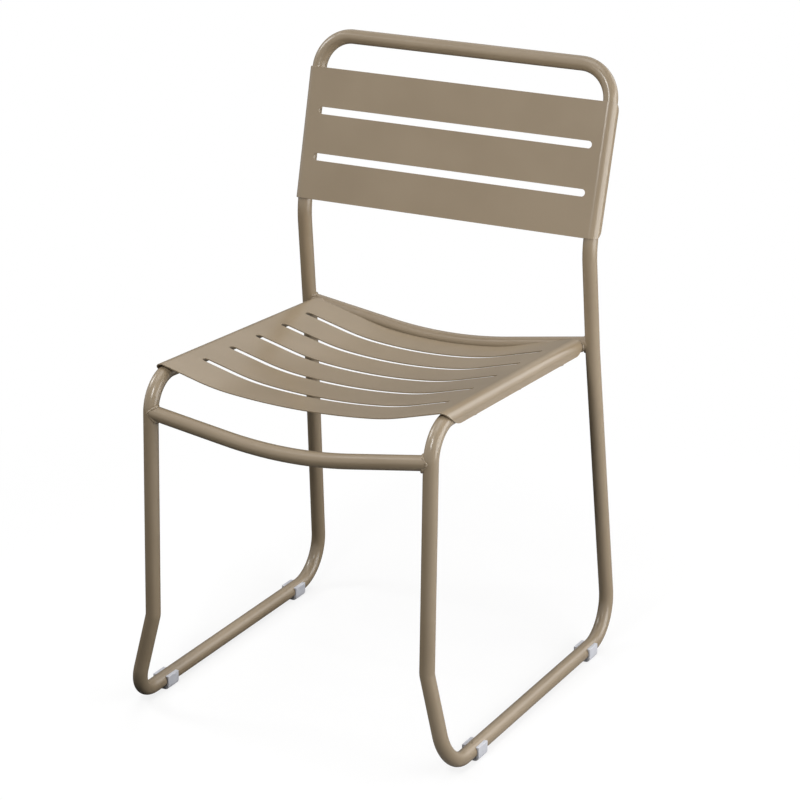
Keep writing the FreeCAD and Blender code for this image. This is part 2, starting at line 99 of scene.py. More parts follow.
# %% [markdown]
# ## Finishes
# Colours are picked from paint charts as sRGB hex values, and Blender's shaders want linear
# light. One function turns them. Another adds a node with its settings and links, which keeps
# each material short enough to read as a recipe.


# %% Colour and node helpers
def paint(hex_code, alpha=1.0):
    """An sRGB hex colour as linear red, green, blue and alpha."""
    channels = [int(hex_code[i:i + 2], 16) / 255 for i in (1, 3, 5)]
    linear = [c / 12.92 if c <= 0.04045 else ((c + 0.055) / 1.055) ** 2.4 for c in channels]
    return (*linear, alpha)


def node(tree, kind, settings=None, **inputs):
    """Add a node. An input is a value, or an output socket to link from."""
    made = tree.nodes.new(kind)
    for name, value in (settings or {}).items():
        setattr(made, name, value)
    for name, value in inputs.items():
        socket = made.inputs[name.replace("_", " ")]
        if isinstance(value, bpy.types.NodeSocket):
            tree.links.new(value, socket)
        else:
            socket.default_value = value
    return made


def new_material(name):
    """An empty node material and its tree."""
    material = bpy.data.materials.new(name)
    material.use_nodes = True
    material.node_tree.nodes.clear()
    print("finish", name)
    return material, material.node_tree


# %% [markdown]
# ### Powder coat
# The whole frame is electrostatically sprayed with a taupe polyester powder and baked at about
# 190 degrees. The powder melts into a satin skin 0.08 mm thick. It hides the steel, rounds
# every edge and leaves a faint orange peel with bumps 1 to 2 mm apart, with specks of finer
# grain. The colour is even, with a slight drift where the coat is thicker.

# %% Powder coat material
PEEL_SPACING = mm(1.6)
GRAIN_SPACING = mm(0.5)
DRIFT_SPACING = mm(90.0)
DRIFT_STOPS = ((0.35, "#908069"), (0.65, "#95856E"))
SPECK = 0.04
GLOSS_SPREAD = 0.04


def powder_coat(name, peel_height, grain_height, roughness):
    """Satin taupe polyester powder coat."""
    material, tree = new_material(name)
    place = node(tree, "ShaderNodeTexCoord").outputs["Object"]
    drift = node(tree, "ShaderNodeTexNoise", Vector=place, Scale=1 / DRIFT_SPACING, Detail=2.0)
    peel = node(tree, "ShaderNodeTexNoise", Vector=place, Scale=1 / PEEL_SPACING, Detail=1.0)
    grain = node(tree, "ShaderNodeTexNoise", Vector=place, Scale=1 / GRAIN_SPACING, Detail=2.0)
    tint = node(tree, "ShaderNodeValToRGB", Fac=drift.outputs["Fac"])
    for stop, (position, colour) in zip(tint.color_ramp.elements, DRIFT_STOPS):
        stop.position = position
        stop.color = paint(colour)
    speck = node(tree, "ShaderNodeMapRange", Value=grain.outputs["Fac"],
                 To_Min=1 - SPECK, To_Max=1 + SPECK)
    colour = node(tree, "ShaderNodeVectorMath", {"operation": "SCALE"},
                  Vector=tint.outputs["Color"], Scale=speck.outputs["Result"])
    gloss = node(tree, "ShaderNodeMapRange", Value=peel.outputs["Fac"],
                 To_Min=roughness - GLOSS_SPREAD, To_Max=roughness + GLOSS_SPREAD)
    low = node(tree, "ShaderNodeBump", Strength=1.0, Distance=peel_height,
               Height=peel.outputs["Fac"])
    fine = node(tree, "ShaderNodeBump", Strength=1.0, Distance=grain_height,
                Height=grain.outputs["Fac"], Normal=low.outputs["Normal"])
    shader = node(tree, "ShaderNodeBsdfPrincipled", Base_Color=colour.outputs["Vector"],
                  Roughness=gloss.outputs["Result"], Normal=fine.outputs["Normal"], IOR=1.5)
    node(tree, "ShaderNodeOutputMaterial", Surface=shader.outputs["BSDF"])
    return material


coat = powder_coat("satin_powder_coat", peel_height=mm(0.013), grain_height=mm(0.004),
                   roughness=0.24)
weld_coat = powder_coat("powder_coat_on_weld", peel_height=mm(0.2), grain_height=mm(0.06),
                        roughness=0.18)

# %% [markdown]
# ### Drawn steel
# Only the spigots inside the frame's joints stay bare. Drawing a tube through a die leaves
# fine lines along it.

# %% Bare steel material
DRAW_LINES = mm(0.6)
DRAW_STRETCH = 0.02
DRAW_DEPTH = mm(0.01)
STEEL_ROUGHNESS = (0.28, 0.42)

bare_steel, tree = new_material("drawn_mild_steel")
place = node(tree, "ShaderNodeTexCoord").outputs["Object"]
lines = node(tree, "ShaderNodeMapping", Vector=place, Scale=(1.0, 1.0, DRAW_STRETCH))
drawn = node(tree, "ShaderNodeTexNoise", Vector=lines.outputs["Vector"], Scale=1 / DRAW_LINES)
gloss = node(tree, "ShaderNodeMapRange", Value=drawn.outputs["Fac"],
             To_Min=STEEL_ROUGHNESS[0], To_Max=STEEL_ROUGHNESS[1])
marks = node(tree, "ShaderNodeBump", Distance=DRAW_DEPTH, Height=drawn.outputs["Fac"])
shader = node(tree, "ShaderNodeBsdfPrincipled", Base_Color=paint("#8B8C8E"), Metallic=1.0,
              Roughness=gloss.outputs["Result"], Normal=marks.outputs["Normal"])
node(tree, "ShaderNodeOutputMaterial", Surface=shader.outputs["BSDF"])

# %% [markdown]
# ### Moulded plastic
# The feet are injection moulded in natural, uncoloured polyamide. It is milky grey-white, and
# light goes a few millimetres into it, so its shadows are soft. The mould was spark eroded,
# which leaves a fine matt grain.

# %% Plastic material
MOULD_GRAIN = mm(0.7)
GRAIN_DEPTH = mm(0.02)
CLOUD_SPACING = mm(9.0)
LIGHT_DEPTH = mm(4.0)

plastic, tree = new_material("natural_polyamide")
place = node(tree, "ShaderNodeTexCoord").outputs["Object"]
grain = node(tree, "ShaderNodeTexNoise", Vector=place, Scale=1 / MOULD_GRAIN, Detail=3.0)
cloud = node(tree, "ShaderNodeTexNoise", Vector=place, Scale=1 / CLOUD_SPACING, Detail=1.0)
tint = node(tree, "ShaderNodeValToRGB", Fac=cloud.outputs["Fac"])
tint.color_ramp.elements[0].color = paint("#C3C4CB")
tint.color_ramp.elements[1].color = paint("#D3D4DA")
marks = node(tree, "ShaderNodeBump", Distance=GRAIN_DEPTH, Height=grain.outputs["Fac"])
shader = node(tree, "ShaderNodeBsdfPrincipled", Base_Color=tint.outputs["Color"], Roughness=0.42,
              IOR=1.53, Subsurface_Weight=0.35, Subsurface_Radius=(LIGHT_DEPTH,) * 3,
              Subsurface_Scale=1.0, Normal=marks.outputs["Normal"])
node(tree, "ShaderNodeOutputMaterial", Surface=shader.outputs["BSDF"])

# %% [markdown]
# ## From a bmesh to a piece of the chair
# Every piece ends the same way: its faces are turned outwards, it is shaded smooth, it gets its
# finish, and it rides on the chair's one rigid body in place of the CAD nodes it stands for.

# %% Finishing helpers
FLAT_FACE_WEIGHT = 60


def to_object(name, bm):
    """Make a finished bmesh an object of the scene."""
    mesh = bpy.data.meshes.new(name)
    bm.to_mesh(mesh)
    bm.free()
    obj = bpy.data.objects.new(name, mesh)
    scene.collection.objects.link(obj)
    return obj


def piece(name, bm, material, slot, *nodes):
    """Make a finished bmesh a piece of the chair that stands for CAD nodes."""
    bmesh.ops.recalc_face_normals(bm, faces=bm.faces)
    for face in bm.faces:
        face.smooth = True
    obj = to_object(name, bm)
    obj.data.materials.append(material)
    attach(obj, "root")
    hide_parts(*nodes)
    print(name, "has", len(obj.data.polygons), "faces")
    return obj


def flatten_shading(obj):
    """Keep flat faces flat beside their rounded edges."""
    weigh = obj.modifiers.new("flat faces", "WEIGHTED_NORMAL")
    weigh.keep_sharp = True
    weigh.weight = FLAT_FACE_WEIGHT


# %% [markdown]
# ## Bent tubes
# A tube bender feeds a straight tube, bends it round a former, and feeds again. bmesh can do
# just that: a ring of vertices is extruded along a straight run and spun round the centre of
# each bend. The drawing gives the corners where the straight centre lines would meet, and the
# radius of the bend that rounds each one. Spinning keeps the tube's section exact, where a
# bevelled curve would tilt it between points.

# %% Tube helpers
TUBE_RADIUS = mm(9.5)
RING_SEGMENTS = 48
DEGREES_PER_STEP = 2.5
BEND_STEP = mm(8.0)
FEED_STEP = mm(40.0)


def ring(bm, centre, direction):
    """A circle of edges round a point, square to a direction."""
    turn = direction.to_track_quat("Z", "Y").to_matrix().to_4x4()
    made = bmesh.ops.create_circle(bm, segments=RING_SEGMENTS, radius=TUBE_RADIUS,
                                   matrix=Matrix.Translation(centre) @ turn)
    return list({edge for vert in made["verts"] for edge in vert.link_edges})


def end_of(made):
    """The vertices and the ring edges at the far end of an extrusion."""
    verts = [item for item in made if isinstance(item, bmesh.types.BMVert)]
    edges = [item for item in made if isinstance(item, bmesh.types.BMEdge)]
    return verts, [edge for edge in edges if set(edge.verts) <= set(verts)]


def feed(bm, edges, move):
    """Extrude a ring straight on, in steps no longer than the feed step."""
    steps = max(1, round(move.length / FEED_STEP))
    for _ in range(steps):
        verts, edges = end_of(bmesh.ops.extrude_edge_only(bm, edges=edges)["geom"])
        bmesh.ops.translate(bm, vec=move / steps, verts=verts)
    return edges


def bend(bm, edges, centre, axis, angle):
    """Spin a ring round the centre of a bend."""
    verts = list({vert for edge in edges for vert in edge.verts})
    reach = (edges[0].verts[0].co - centre).length * angle
    steps = max(3, round(math.degrees(angle) / DEGREES_PER_STEP), round(reach / BEND_STEP))
    made = bmesh.ops.spin(bm, geom=verts + edges, cent=centre, axis=axis, angle=angle,
                          steps=steps, use_duplicate=False)
    return end_of(made["geom_last"])[1]


# %% [markdown]
# With those two moves a whole tube follows from its corners. The ends are closed with flat caps,
# and where two tubes are butted together their rims have a small chamfer.

# %% Whole tubes
END_CHAMFER = mm(0.3)


def bent_tube(corners, radii):
    """A tube along straight runs and bends, open at both ends. Returns it and its end rings."""
    bm = bmesh.new()
    first = ring(bm, corners[0], (corners[1] - corners[0]).normalized())
    edges = first
    here = corners[0]
    for before, corner, after, bend_radius in zip(corners, corners[1:], corners[2:], radii):
        back = (before - corner).normalized()
        ahead = (after - corner).normalized()
        angle = math.pi - back.angle(ahead)
        reach = bend_radius * math.tan(angle / 2)
        entry = corner + back * reach
        middle = corner + (back + ahead).normalized() * bend_radius / math.cos(angle / 2)
        edges = feed(bm, edges, entry - here)
        edges = bend(bm, edges, middle, (-back).cross(ahead).normalized(), angle)
        here = corner + ahead * reach
    edges = feed(bm, edges, corners[-1] - here)
    return bm, first, edges


def close_end(bm, edges, outward=None):
    """Close a ring. With a direction outwards, the rim gets a small chamfer first. The rims stay
    sharp, or the flat end would bend the tube's smooth shading."""
    if outward is not None:
        for edge in edges:
            edge.smooth = False
        verts, edges = end_of(bmesh.ops.extrude_edge_only(bm, edges=edges)["geom"])
        centre = sum((vert.co for vert in verts), Vector()) / len(verts)
        share = 1 - END_CHAMFER / TUBE_RADIUS
        bmesh.ops.scale(bm, vec=(share,) * 3, space=Matrix.Translation(-centre), verts=verts)
        bmesh.ops.translate(bm, vec=outward * END_CHAMFER, verts=verts)
    for edge in edges:
        edge.smooth = False
    bmesh.ops.contextual_create(bm, geom=edges)


def shorten(start, end, length):
    """The point a length before the end of a run."""
    return end - (end - start).normalized() * length


# %% [markdown]
# ### The hoop
# The top of the back is one tube with two 45 mm bends. Its ends meet the side frames half way
# down the back panel, where the panel's rolled sides cover the joint from the front. From
# behind, a hairline groove shows under the paint, so each tube end gets a small chamfer.

# %% Back hoop
JOINT = mm(208.73, 205.82, 652.72)
HOOP_CORNER = mm(210.5, 241.02, 779.3)
HOOP_BEND = mm(45.0)
JOINT_GROOVE = mm(0.3)


def flipped(point):
    """The same point on the chair's other side."""
    return Vector((-point.x, point.y, point.z))


up_the_back = (HOOP_CORNER - JOINT).normalized()
hoop_start = JOINT + up_the_back * JOINT_GROOVE
hoop, first, last = bent_tube(
    [hoop_start, HOOP_CORNER, flipped(HOOP_CORNER), flipped(hoop_start)],
    [HOOP_BEND, HOOP_BEND],
)
close_end(hoop, first, -up_the_back)
close_end(hoop, last, flipped(-up_the_back))
piece("hoop", hoop, coat, "powder_coat", "back_hoop")

# %% [markdown]
# ### The side frames
# Upright, rear leg, floor runner, front leg and seat rail are one tube with six bends. The
# reclined upright bends softly, and the feet and the seat bend tightly. The last run ends
# coped against the rear stretcher, so it stops inside it.

# %% Side frames
SIDE_CORNERS = [
    mm(207.4, 179.32, 557.4),
    mm(208.6, 194.29, 416.1),
    mm(221.5, 237.12, 12.0),
    mm(223.2, -242.34, 12.0),
    mm(193.5, -238.76, 132.5),
    mm(193.5, -229.51, 444.3),
]
SIDE_BENDS = [mm(110.0), mm(400.0), mm(55.0), mm(45.0), mm(28.0), mm(45.0)]
RAIL_END = mm(189.3, 194.29, 421.4)
COPE = mm(3.0)


def side_frame():
    """The left frame's tube."""
    rail_end = shorten(SIDE_CORNERS[-1], RAIL_END, COPE)
    start = JOINT - up_the_back * JOINT_GROOVE
    bm, first, last = bent_tube([start, *SIDE_CORNERS, rail_end], SIDE_BENDS)
    close_end(bm, first, up_the_back)
    close_end(bm, last)
    return bm


right_frame = side_frame()
bmesh.ops.scale(right_frame, vec=(-1, 1, 1), verts=right_frame.verts)
piece("frame_right", right_frame, coat, "powder_coat", "side_frame_right")
frame_left = piece("frame_left", side_frame(), coat, "powder_coat", "side_frame_left")

# %% [markdown]
# A tube that is welded shut and then baked needs a hole for the hot air to leave. This one has
# it on top of the left runner, between the front foot's arms. A Boolean modifier drills it.

# %% Vent hole
VENT_PLACE = mm(222.96, -175.84, 21.5)
VENT_RADIUS = mm(1.25)
DRILL_SEGMENTS = 24
DRILL_LENGTH = mm(8.0)

drill = bmesh.new()
bmesh.ops.create_cone(drill, cap_ends=True, segments=DRILL_SEGMENTS, radius1=VENT_RADIUS,
                      radius2=VENT_RADIUS, depth=DRILL_LENGTH,
                      matrix=Matrix.Translation(VENT_PLACE))
drill_bit = to_object("drill", drill)
hole = frame_left.modifiers.new("vent hole", "BOOLEAN")
hole.object = drill_bit
hole.operation = "DIFFERENCE"
bpy.context.view_layer.update()
drilled = bpy.data.meshes.new_from_object(
    frame_left.evaluated_get(bpy.context.evaluated_depsgraph_get()))
frame_left.modifiers.clear()
frame_left.data = drilled
bpy.data.objects.remove(drill_bit)
print("vent hole is", round(VENT_RADIUS * 2 * MM_PER_M, 1), "mm wide")

# %% [markdown]
# ### The stretchers
# Two bowed tubes hold the side frames apart. They are bent downwards so that the dished seat
# never touches them. On the real chair each end is cut to a saddle. Here each end stops inside the
# tube it meets, 3 mm short of its middle, and is closed flat.

# %% Stretchers
STRETCHER_BEND = mm(564.0)
FRONT_END = mm(193.5, -231.5, 400.54)
REAR_END = mm(208.6, 194.29, 425.79)
STRETCHER_RISE = math.radians(8.8)


def stretcher(end):
    """A bowed tube between an end and its twin on the right."""
    corner = Vector((0, end.y, end.z - end.x * math.tan(STRETCHER_RISE)))
    start = shorten(corner, end, COPE)
    bm, first, last = bent_tube([start, corner, flipped(start)], [STRETCHER_BEND])
    close_end(bm, first)
    close_end(bm, last)
    return bm


piece("stretcher_front", stretcher(FRONT_END), coat, "powder_coat", "front_stretcher")
piece("stretcher_rear", stretcher(REAR_END), coat, "powder_coat", "rear_stretcher")

# %% [markdown]
# ## Slotted sheets
# Seat and back start as flat blanks. A punch cuts the outline and the round-ended slots, a
# press brake rolls the two sides over a bar, and a press dishes the seat. The meshes are made
# in the same order: a flat plate with slots, fine slices where it will go round the tubes,
# rounded corners, a thickness with rounded rims, and then a move of every vertex to where the
# rolled sheet has it. Cutting the slots while the plate is flat keeps their ends truly round.

# %% Slices and slots
ARC_CUTS = 15
SNAP = mm(0.02)


def slice_at(bm, axis, places):
    """Cut a mesh with planes across an axis."""
    for at in places:
        point = Vector((0, 0, 0))
        point[axis] = at
        normal = Vector((0, 0, 0))
        normal[axis] = 1
        bmesh.ops.bisect_plane(bm, geom=bm.faces[:] + bm.edges[:] + bm.verts[:], dist=SNAP,
                               plane_co=point, plane_no=normal)


def punched_plate(half_width, low, high, centres, half_length, width):
    """A flat plate from low to high in Y, with round-ended slots across it."""
    radius = width / 2
    reach = half_length - radius
    columns = [-half_width, -reach, reach, half_width]
    rows = sorted([low, high] + [c + sign * radius for c in centres for sign in (-1, 1)])
    bm = bmesh.new()
    bmesh.ops.create_grid(bm, x_segments=len(columns) - 1, y_segments=len(rows) - 1, size=1)
    for vert in bm.verts:
        column = round((vert.co.x + 1) / 2 * (len(columns) - 1))
        row = round((vert.co.y + 1) / 2 * (len(rows) - 1))
        vert.co = (columns[column], rows[row], 0)
    middles = [(face, face.calc_center_median()) for face in bm.faces]
    punched = [face for face, middle in middles
               if abs(middle.x) < reach and any(abs(middle.y - c) < radius for c in centres)]
    bmesh.ops.delete(bm, geom=punched, context="FACES")

    # The slot's square ends are divided and pulled out to half circles
    ends = [e for e in bm.edges if e.is_boundary and e.verts[0].co.x * e.verts[1].co.x > 0
            and all(abs(abs(v.co.x) - reach) < SNAP for v in e.verts)]
    made = bmesh.ops.subdivide_edges(bm, edges=ends, cuts=ARC_CUTS)["geom_inner"]
    for vert in made:
        if isinstance(vert, bmesh.types.BMVert):
            centre = min(centres, key=lambda c: abs(vert.co.y - c))
            side = math.copysign(1, vert.co.x)
            even = (vert.co.y - centre) / radius * math.pi / 2
            vert.co.y = centre + radius * math.sin(even)
            vert.co.x = side * (reach + radius * math.cos(even))
    return bm


# %% [markdown]
# A punched edge is never knife sharp, and the coat rounds it further. So the plate's rims get a
# small round bevel once it has its thickness.

# %% Thickness and rims
SHEET_THICKNESS = mm(1.8)
RIM_RADIUS = mm(0.4)
RIM_ANGLE = math.radians(60)
EDGE_SEGMENTS = 3


def thicken(bm):
    """Give a flat plate its thickness, and round its rims."""
    made = bmesh.ops.extrude_face_region(bm, geom=bm.faces[:])["geom"]
    top = [item for item in made if isinstance(item, bmesh.types.BMVert)]
    bmesh.ops.translate(bm, vec=(0, 0, SHEET_THICKNESS), verts=top)
    bmesh.ops.recalc_face_normals(bm, faces=bm.faces)
    rims = [e for e in bm.edges if e.calc_face_angle(0) > RIM_ANGLE
            and abs(e.verts[0].co.z - e.verts[1].co.z) < SNAP]
    bmesh.ops.bevel(bm, geom=rims, offset=RIM_RADIUS, offset_type="OFFSET", affect="EDGES",
                    segments=EDGE_SEGMENTS, profile=0.5, material=-1, clamp_overlap=False,
                    loop_slide=False)
    bmesh.ops.dissolve_degenerate(bm, dist=SNAP, edges=bm.edges)


# %% [markdown]
# Where the sheet is rolled, the blank's width runs round the tube: a quarter turn and a bit,
# then straight on. These helpers say where the blank is sliced for that, and turn a distance
# along the roll into a place round the tube.

# %% Roll helpers
ROLL_RADIUS = mm(9.8)
ROLL_STEP = math.radians(7.5)
STRAIGHT_STEP = mm(1.0)


def steps_between(start, end, step):
    """Evenly spaced numbers between two ends, with neither of them."""
    count = max(1, round(abs(end - start) / step))
    return [start + (end - start) * i / count for i in range(1, count)]


def roll_slices(start, quarter, drop):
    """Where the blank is sliced so that it can go round the tube."""
    round_part = steps_between(start, start + quarter, ROLL_RADIUS * ROLL_STEP)
    straight = steps_between(start + quarter, start + quarter + drop, STRAIGHT_STEP)
    return [start, *round_part, start + quarter, *straight]


def both_sides(places):
    """The same places on the right and on the left of the middle."""
    return sorted([-p for p in places] + list(places))


def on_roll(distance, start, outward):
    """Where a distance along the roll lies: sideways and up from the tube's centre."""
    radius = ROLL_RADIUS + outward
    turn = distance / ROLL_RADIUS + start
    if turn <= math.pi / 2:
        return radius * math.sin(turn), radius * math.cos(turn)
    return radius, -(distance - (math.pi / 2 - start) * ROLL_RADIUS)


# %% [markdown]
# All eight corners of the two sheets are round, and they lie on the rolls, where they show from
# the side. So each is cut back by how high that place on the blank will lie on its roll.

# %% Corner helpers
PAST_EDGE = mm(0.3)


def corner_depth(height, drop, length, rise):
    """How far a rounded corner cuts back from the sheet's end, at a height on the roll."""
    low = -drop - PAST_EDGE
    tall = rise + PAST_EDGE
    radius = (length ** 2 + tall ** 2) / (2 * tall)
    if height > low + tall:
        return 0.0
    return length - math.sqrt(max(0, radius ** 2 - (height - low - radius) ** 2))


def round_corners(bm, fold, start, drop, ends):
    """Round a blank's corners. Each end is its place, the way inwards and a corner's size."""
    for vert in bm.verts:
        distance = abs(vert.co.x) - fold
        if distance > -start * ROLL_RADIUS:
            height = on_roll(distance, start, SHEET_THICKNESS / 2)[1]
            for place, way, corner in ends:
                if abs(vert.co.y - place) < SNAP:
                    vert.co.y += way * corner_depth(height, drop, *corner)


# %% [markdown]
# ### The back panel
# The back is flat from upright to upright, and its sides go round the outside of the tubes and
# stop just behind their middle. It has two slots and four rounded corners.

# %% Back blank
BACK_SLOTS = 2
BACK_LOW = mm(11.8)
BACK_SLAT = mm(51.8)
BACK_SLOT = mm(9.45)
BACK_HIGH = BACK_LOW + (BACK_SLOTS + 1) * BACK_SLAT + BACK_SLOTS * BACK_SLOT
BACK_SLOT_HALF = mm(195.4)
BACK_HALF = mm(207.4)
BACK_QUARTER = ROLL_RADIUS * math.pi / 2
BACK_DROP = mm(4.0)
BACK_CORNER = (mm(14.0), mm(12.5))

slot_centres = [BACK_LOW + i * (BACK_SLAT + BACK_SLOT) - BACK_SLOT / 2
                for i in range(1, BACK_SLOTS + 1)]
back = punched_plate(BACK_HALF + (BACK_QUARTER + BACK_DROP), BACK_LOW, BACK_HIGH, slot_centres,
                     BACK_SLOT_HALF, BACK_SLOT)
slice_at(back, 0, both_sides(roll_slices(BACK_HALF, BACK_QUARTER, BACK_DROP)))
round_corners(back, BACK_HALF, 0, BACK_DROP,
              [(BACK_LOW, 1, BACK_CORNER), (BACK_HIGH, -1, BACK_CORNER)])
thicken(back)
print("back blank is", round((BACK_HIGH - BACK_LOW) * MM_PER_M, 1), "mm high")

# %% [markdown]
# Now the blank is bent. Its height runs up the reclined uprights, which spread a little towards
# the top, and each side past the fold goes round its tube.

# %% Bend the back
BACK_BASE = mm(0, 179.32, 557.4)
RECLINE = math.radians(15.54)
BACK_SPREAD = 3.1 / 230.3
BACK_UP = Vector((0, math.sin(RECLINE), math.cos(RECLINE)))
BACK_FORWARD = Vector((0, -math.cos(RECLINE), math.sin(RECLINE)))

for vert in back.verts:
    across, rise, outward = vert.co
    side = math.copysign(1, across)
    upright = BACK_SPREAD * rise
    if abs(across) <= BACK_HALF:
        sideways = across * (1 + upright / BACK_HALF)
        forward = ROLL_RADIUS + outward
    else:
        over, forward = on_roll(abs(across) - BACK_HALF, 0, outward)
        sideways = side * (BACK_HALF + upright + over)
    vert.co = BACK_BASE + Vector((sideways, 0, 0)) + BACK_UP * rise + BACK_FORWARD * forward
flatten_shading(piece("back_sheet", back, coat, "powder_coat", "back_panel"))

# %% [markdown]
# ### The seat
# The seat hangs between the rails like a hammock: a wide, shallow arc in the middle, a tighter
# shoulder, a straight slope up to each rail, and a roll over it. It is a little deeper at the
# back than at the front, and the rails spread towards the front, so the section is worked out
# afresh at every place from front to back.

# %% Seat dish and rails
SEAT_FRONT = mm(-204.51)
SEAT_LAST_SLOT = mm(-140.41)
SEAT_REAR = mm(179.79)
SEAT_DISH = [(SEAT_FRONT, mm(17.0)), (SEAT_LAST_SLOT, mm(20.5)), (SEAT_REAR, mm(23.0))]
SLOPE = math.radians(15.0)
BLEND = math.radians(6.0)
SHOULDER = mm(300.0)
SEAT_DROP = mm(7.0)
RAIL_FRONT = SIDE_CORNERS[-1]


def between(value, pairs):
    """Straight-line reading of a small table of pairs."""
    for (low, first), (high, second) in zip(pairs, pairs[1:]):
        if value <= high:
            break
    return first + (second - first) * (value - low) / (high - low)


def rail_at(y):
    """The point on the left rail's middle line at a place front to back."""
    return RAIL_END.lerp(RAIL_FRONT, (RAIL_END.y - y) / (RAIL_END.y - RAIL_FRONT.y))


def roll_start(y):
    """Where the slope ends and the roll begins."""
    return rail_at(y).x - ROLL_RADIUS * math.sin(SLOPE)


# %% [markdown]
# The arc and the shoulder are parts of circles that run into each other, and the shoulder runs
# into the slope. With the shoulder's radius and the angles given, the rest is geometry.


# %% Seat section
def seat_point(across, y, outward):
    """Where a blank's point lies on the dished and rolled seat."""
    half, _, rail_height = rail_at(y)
    start = roll_start(y)
    dish = between(y, SEAT_DISH)
    side = math.copysign(1, across)
    distance = abs(across)
    if distance > start:
        over, height = on_roll(distance - start, -SLOPE, outward)
        return Vector((side * (half + over), y, rail_height + height))

    # The wide arc's radius follows from the width and the depth of the dish
    run = start - SHOULDER * (math.sin(SLOPE) - math.sin(BLEND))
    climb = dish + ROLL_RADIUS * math.cos(SLOPE) - SHOULDER * (math.cos(BLEND) - math.cos(SLOPE))
    spread = math.sin(BLEND) * math.sin(SLOPE) - math.cos(SLOPE) * (1 - math.cos(BLEND))
    wide = (run * math.sin(SLOPE) - climb * math.cos(SLOPE)) / spread
    gap = wide - SHOULDER
    if distance <= wide * math.sin(BLEND):
        angle = math.asin(distance / wide)
        height = wide - dish - wide * math.cos(angle)
    elif distance <= gap * math.sin(BLEND) + SHOULDER * math.sin(SLOPE):
        angle = math.asin((distance - gap * math.sin(BLEND)) / SHOULDER)
        height = wide - dish - gap * math.cos(BLEND) - SHOULDER * math.cos(angle)
    else:
        angle = SLOPE
        height = ROLL_RADIUS * math.cos(SLOPE) - (start - distance) * math.tan(SLOPE)
    x = distance - outward * math.sin(angle)
    return Vector((side * x, y, rail_height + height + outward * math.cos(angle)))


middle_depth = rail_at(0).z - seat_point(0, 0, 0).z
print("seat is", round(middle_depth * MM_PER_M, 1), "mm deep in the middle")

# %% [markdown]
# The blank is cut for the narrow rear, with five slots and a larger corner at the front. Besides
# the slices for the rolls it needs more of them for the dish.

# %% Seat blank
SEAT_SLOTS = 5
SEAT_SLAT = mm(55.4)
SEAT_SLOT = mm(9.6)
SEAT_SLOT_HALF = mm(172.3)
SEAT_FRONT_CORNER = (mm(35.0), mm(17.6))
SEAT_REAR_CORNER = (mm(20.0), mm(9.5))
PLAIN_HALF = mm(173.2)
DISH_STEP = mm(7.0)
FOLD = roll_start(SEAT_REAR)
SEAT_QUARTER = ROLL_RADIUS * (math.pi / 2 + SLOPE)

slot_centres = [SEAT_REAR - SEAT_SLAT - SEAT_SLOT / 2 - i * (SEAT_SLAT + SEAT_SLOT)
                for i in range(SEAT_SLOTS)]
seat = punched_plate(FOLD + SEAT_QUARTER + SEAT_DROP, SEAT_FRONT, SEAT_REAR, slot_centres,
                     SEAT_SLOT_HALF, SEAT_SLOT)
slice_at(seat, 0, both_sides(roll_slices(FOLD, SEAT_QUARTER, SEAT_DROP)))
round_corners(seat, FOLD, -SLOPE, SEAT_DROP,
              [(SEAT_FRONT, 1, SEAT_FRONT_CORNER), (SEAT_REAR, -1, SEAT_REAR_CORNER)])
thicken(seat)
slice_at(seat, 0, both_sides([PLAIN_HALF, *steps_between(0, PLAIN_HALF, DISH_STEP)]) + [0])
bmesh.ops.dissolve_degenerate(seat, dist=SNAP, edges=seat.edges)

# Faces with many corners lie round the slots' ends, and only split cleanly while they are flat
many_corners = [face for face in seat.faces if len(face.verts) > 4]
bmesh.ops.triangulate(seat, faces=many_corners, ngon_method="EAR_CLIP")
print("seat blank is", round((SEAT_REAR - SEAT_FRONT) * MM_PER_M, 1), "mm from front to back")

# %% [markdown]
# When the seat is bent, the blank stretches a little beyond the ends of the slots. The rails are
# further apart towards the front, and the fold line has to stay on the roll's start.

# %% Bend the seat
for vert in seat.verts:
    across, y, outward = vert.co
    stretch = roll_start(y) - FOLD
    distance = abs(across)
    if distance > FOLD:
        distance += stretch
    elif distance > PLAIN_HALF:
        distance += stretch * (distance - PLAIN_HALF) / (FOLD - PLAIN_HALF)
    vert.co = seat_point(math.copysign(distance, across), y, outward)
flatten_shading(piece("seat_sheet", seat, coat, "powder_coat", "seat_panel"))

# %% [markdown]
# ## Welds
# A weld runs along the seam between two tubes. Where a branch tube meets the side of another,
# that seam is a saddle-shaped curve, and this helper finds its points.


# %% Seam helper
def seam_point(crossing, carrier, branch, angle):
    """Where a branch tube's surface meets the carrier's, at an angle round the branch, and the
    way out of the corner there. The third value is 1 where the surfaces run into each other and
    0 at a square corner."""
    side = carrier.cross(branch).normalized()
    up = branch.cross(side).normalized()
    offset = (side * math.cos(angle) + up * math.sin(angle)) * TUBE_RADIUS
    flat_branch = branch - carrier * branch.dot(carrier)
    flat_offset = offset - carrier * offset.dot(carrier)

    # The line leaves the carrier's round surface where a quadratic equation has its larger root
    a = flat_branch.length_squared
    b = 2 * flat_branch.dot(flat_offset)
    c = flat_offset.length_squared - TUBE_RADIUS ** 2
    along = (-b + math.sqrt(max(0, b * b - 4 * a * c))) / (2 * a)

    found = crossing + branch * along + offset
    arm = found - crossing
    from_carrier = (arm - carrier * arm.dot(carrier)).normalized()
    flatness = from_carrier.dot(offset) / TUBE_RADIUS
    return found, (from_carrier + offset.normalized()).normalized(), flatness


# %% [markdown]
# A MIG weld is a row of small puddles that froze one after another. So each bead is a row of
# overlapping balls, slightly uneven, set along the seam. A voxel remesh melts them together and
# a light smoothing does what surface tension does. The coat then covers weld and spatter alike.

# %% Bead helpers
BEAD_VOXEL = mm(0.45)
PUDDLE_STEP = mm(1.7)
PUDDLE_DRIFT = 0.1
PUDDLE_UNEVEN = 0.1
TENSION_ROUNDS = 4
puddles = random.Random(7)


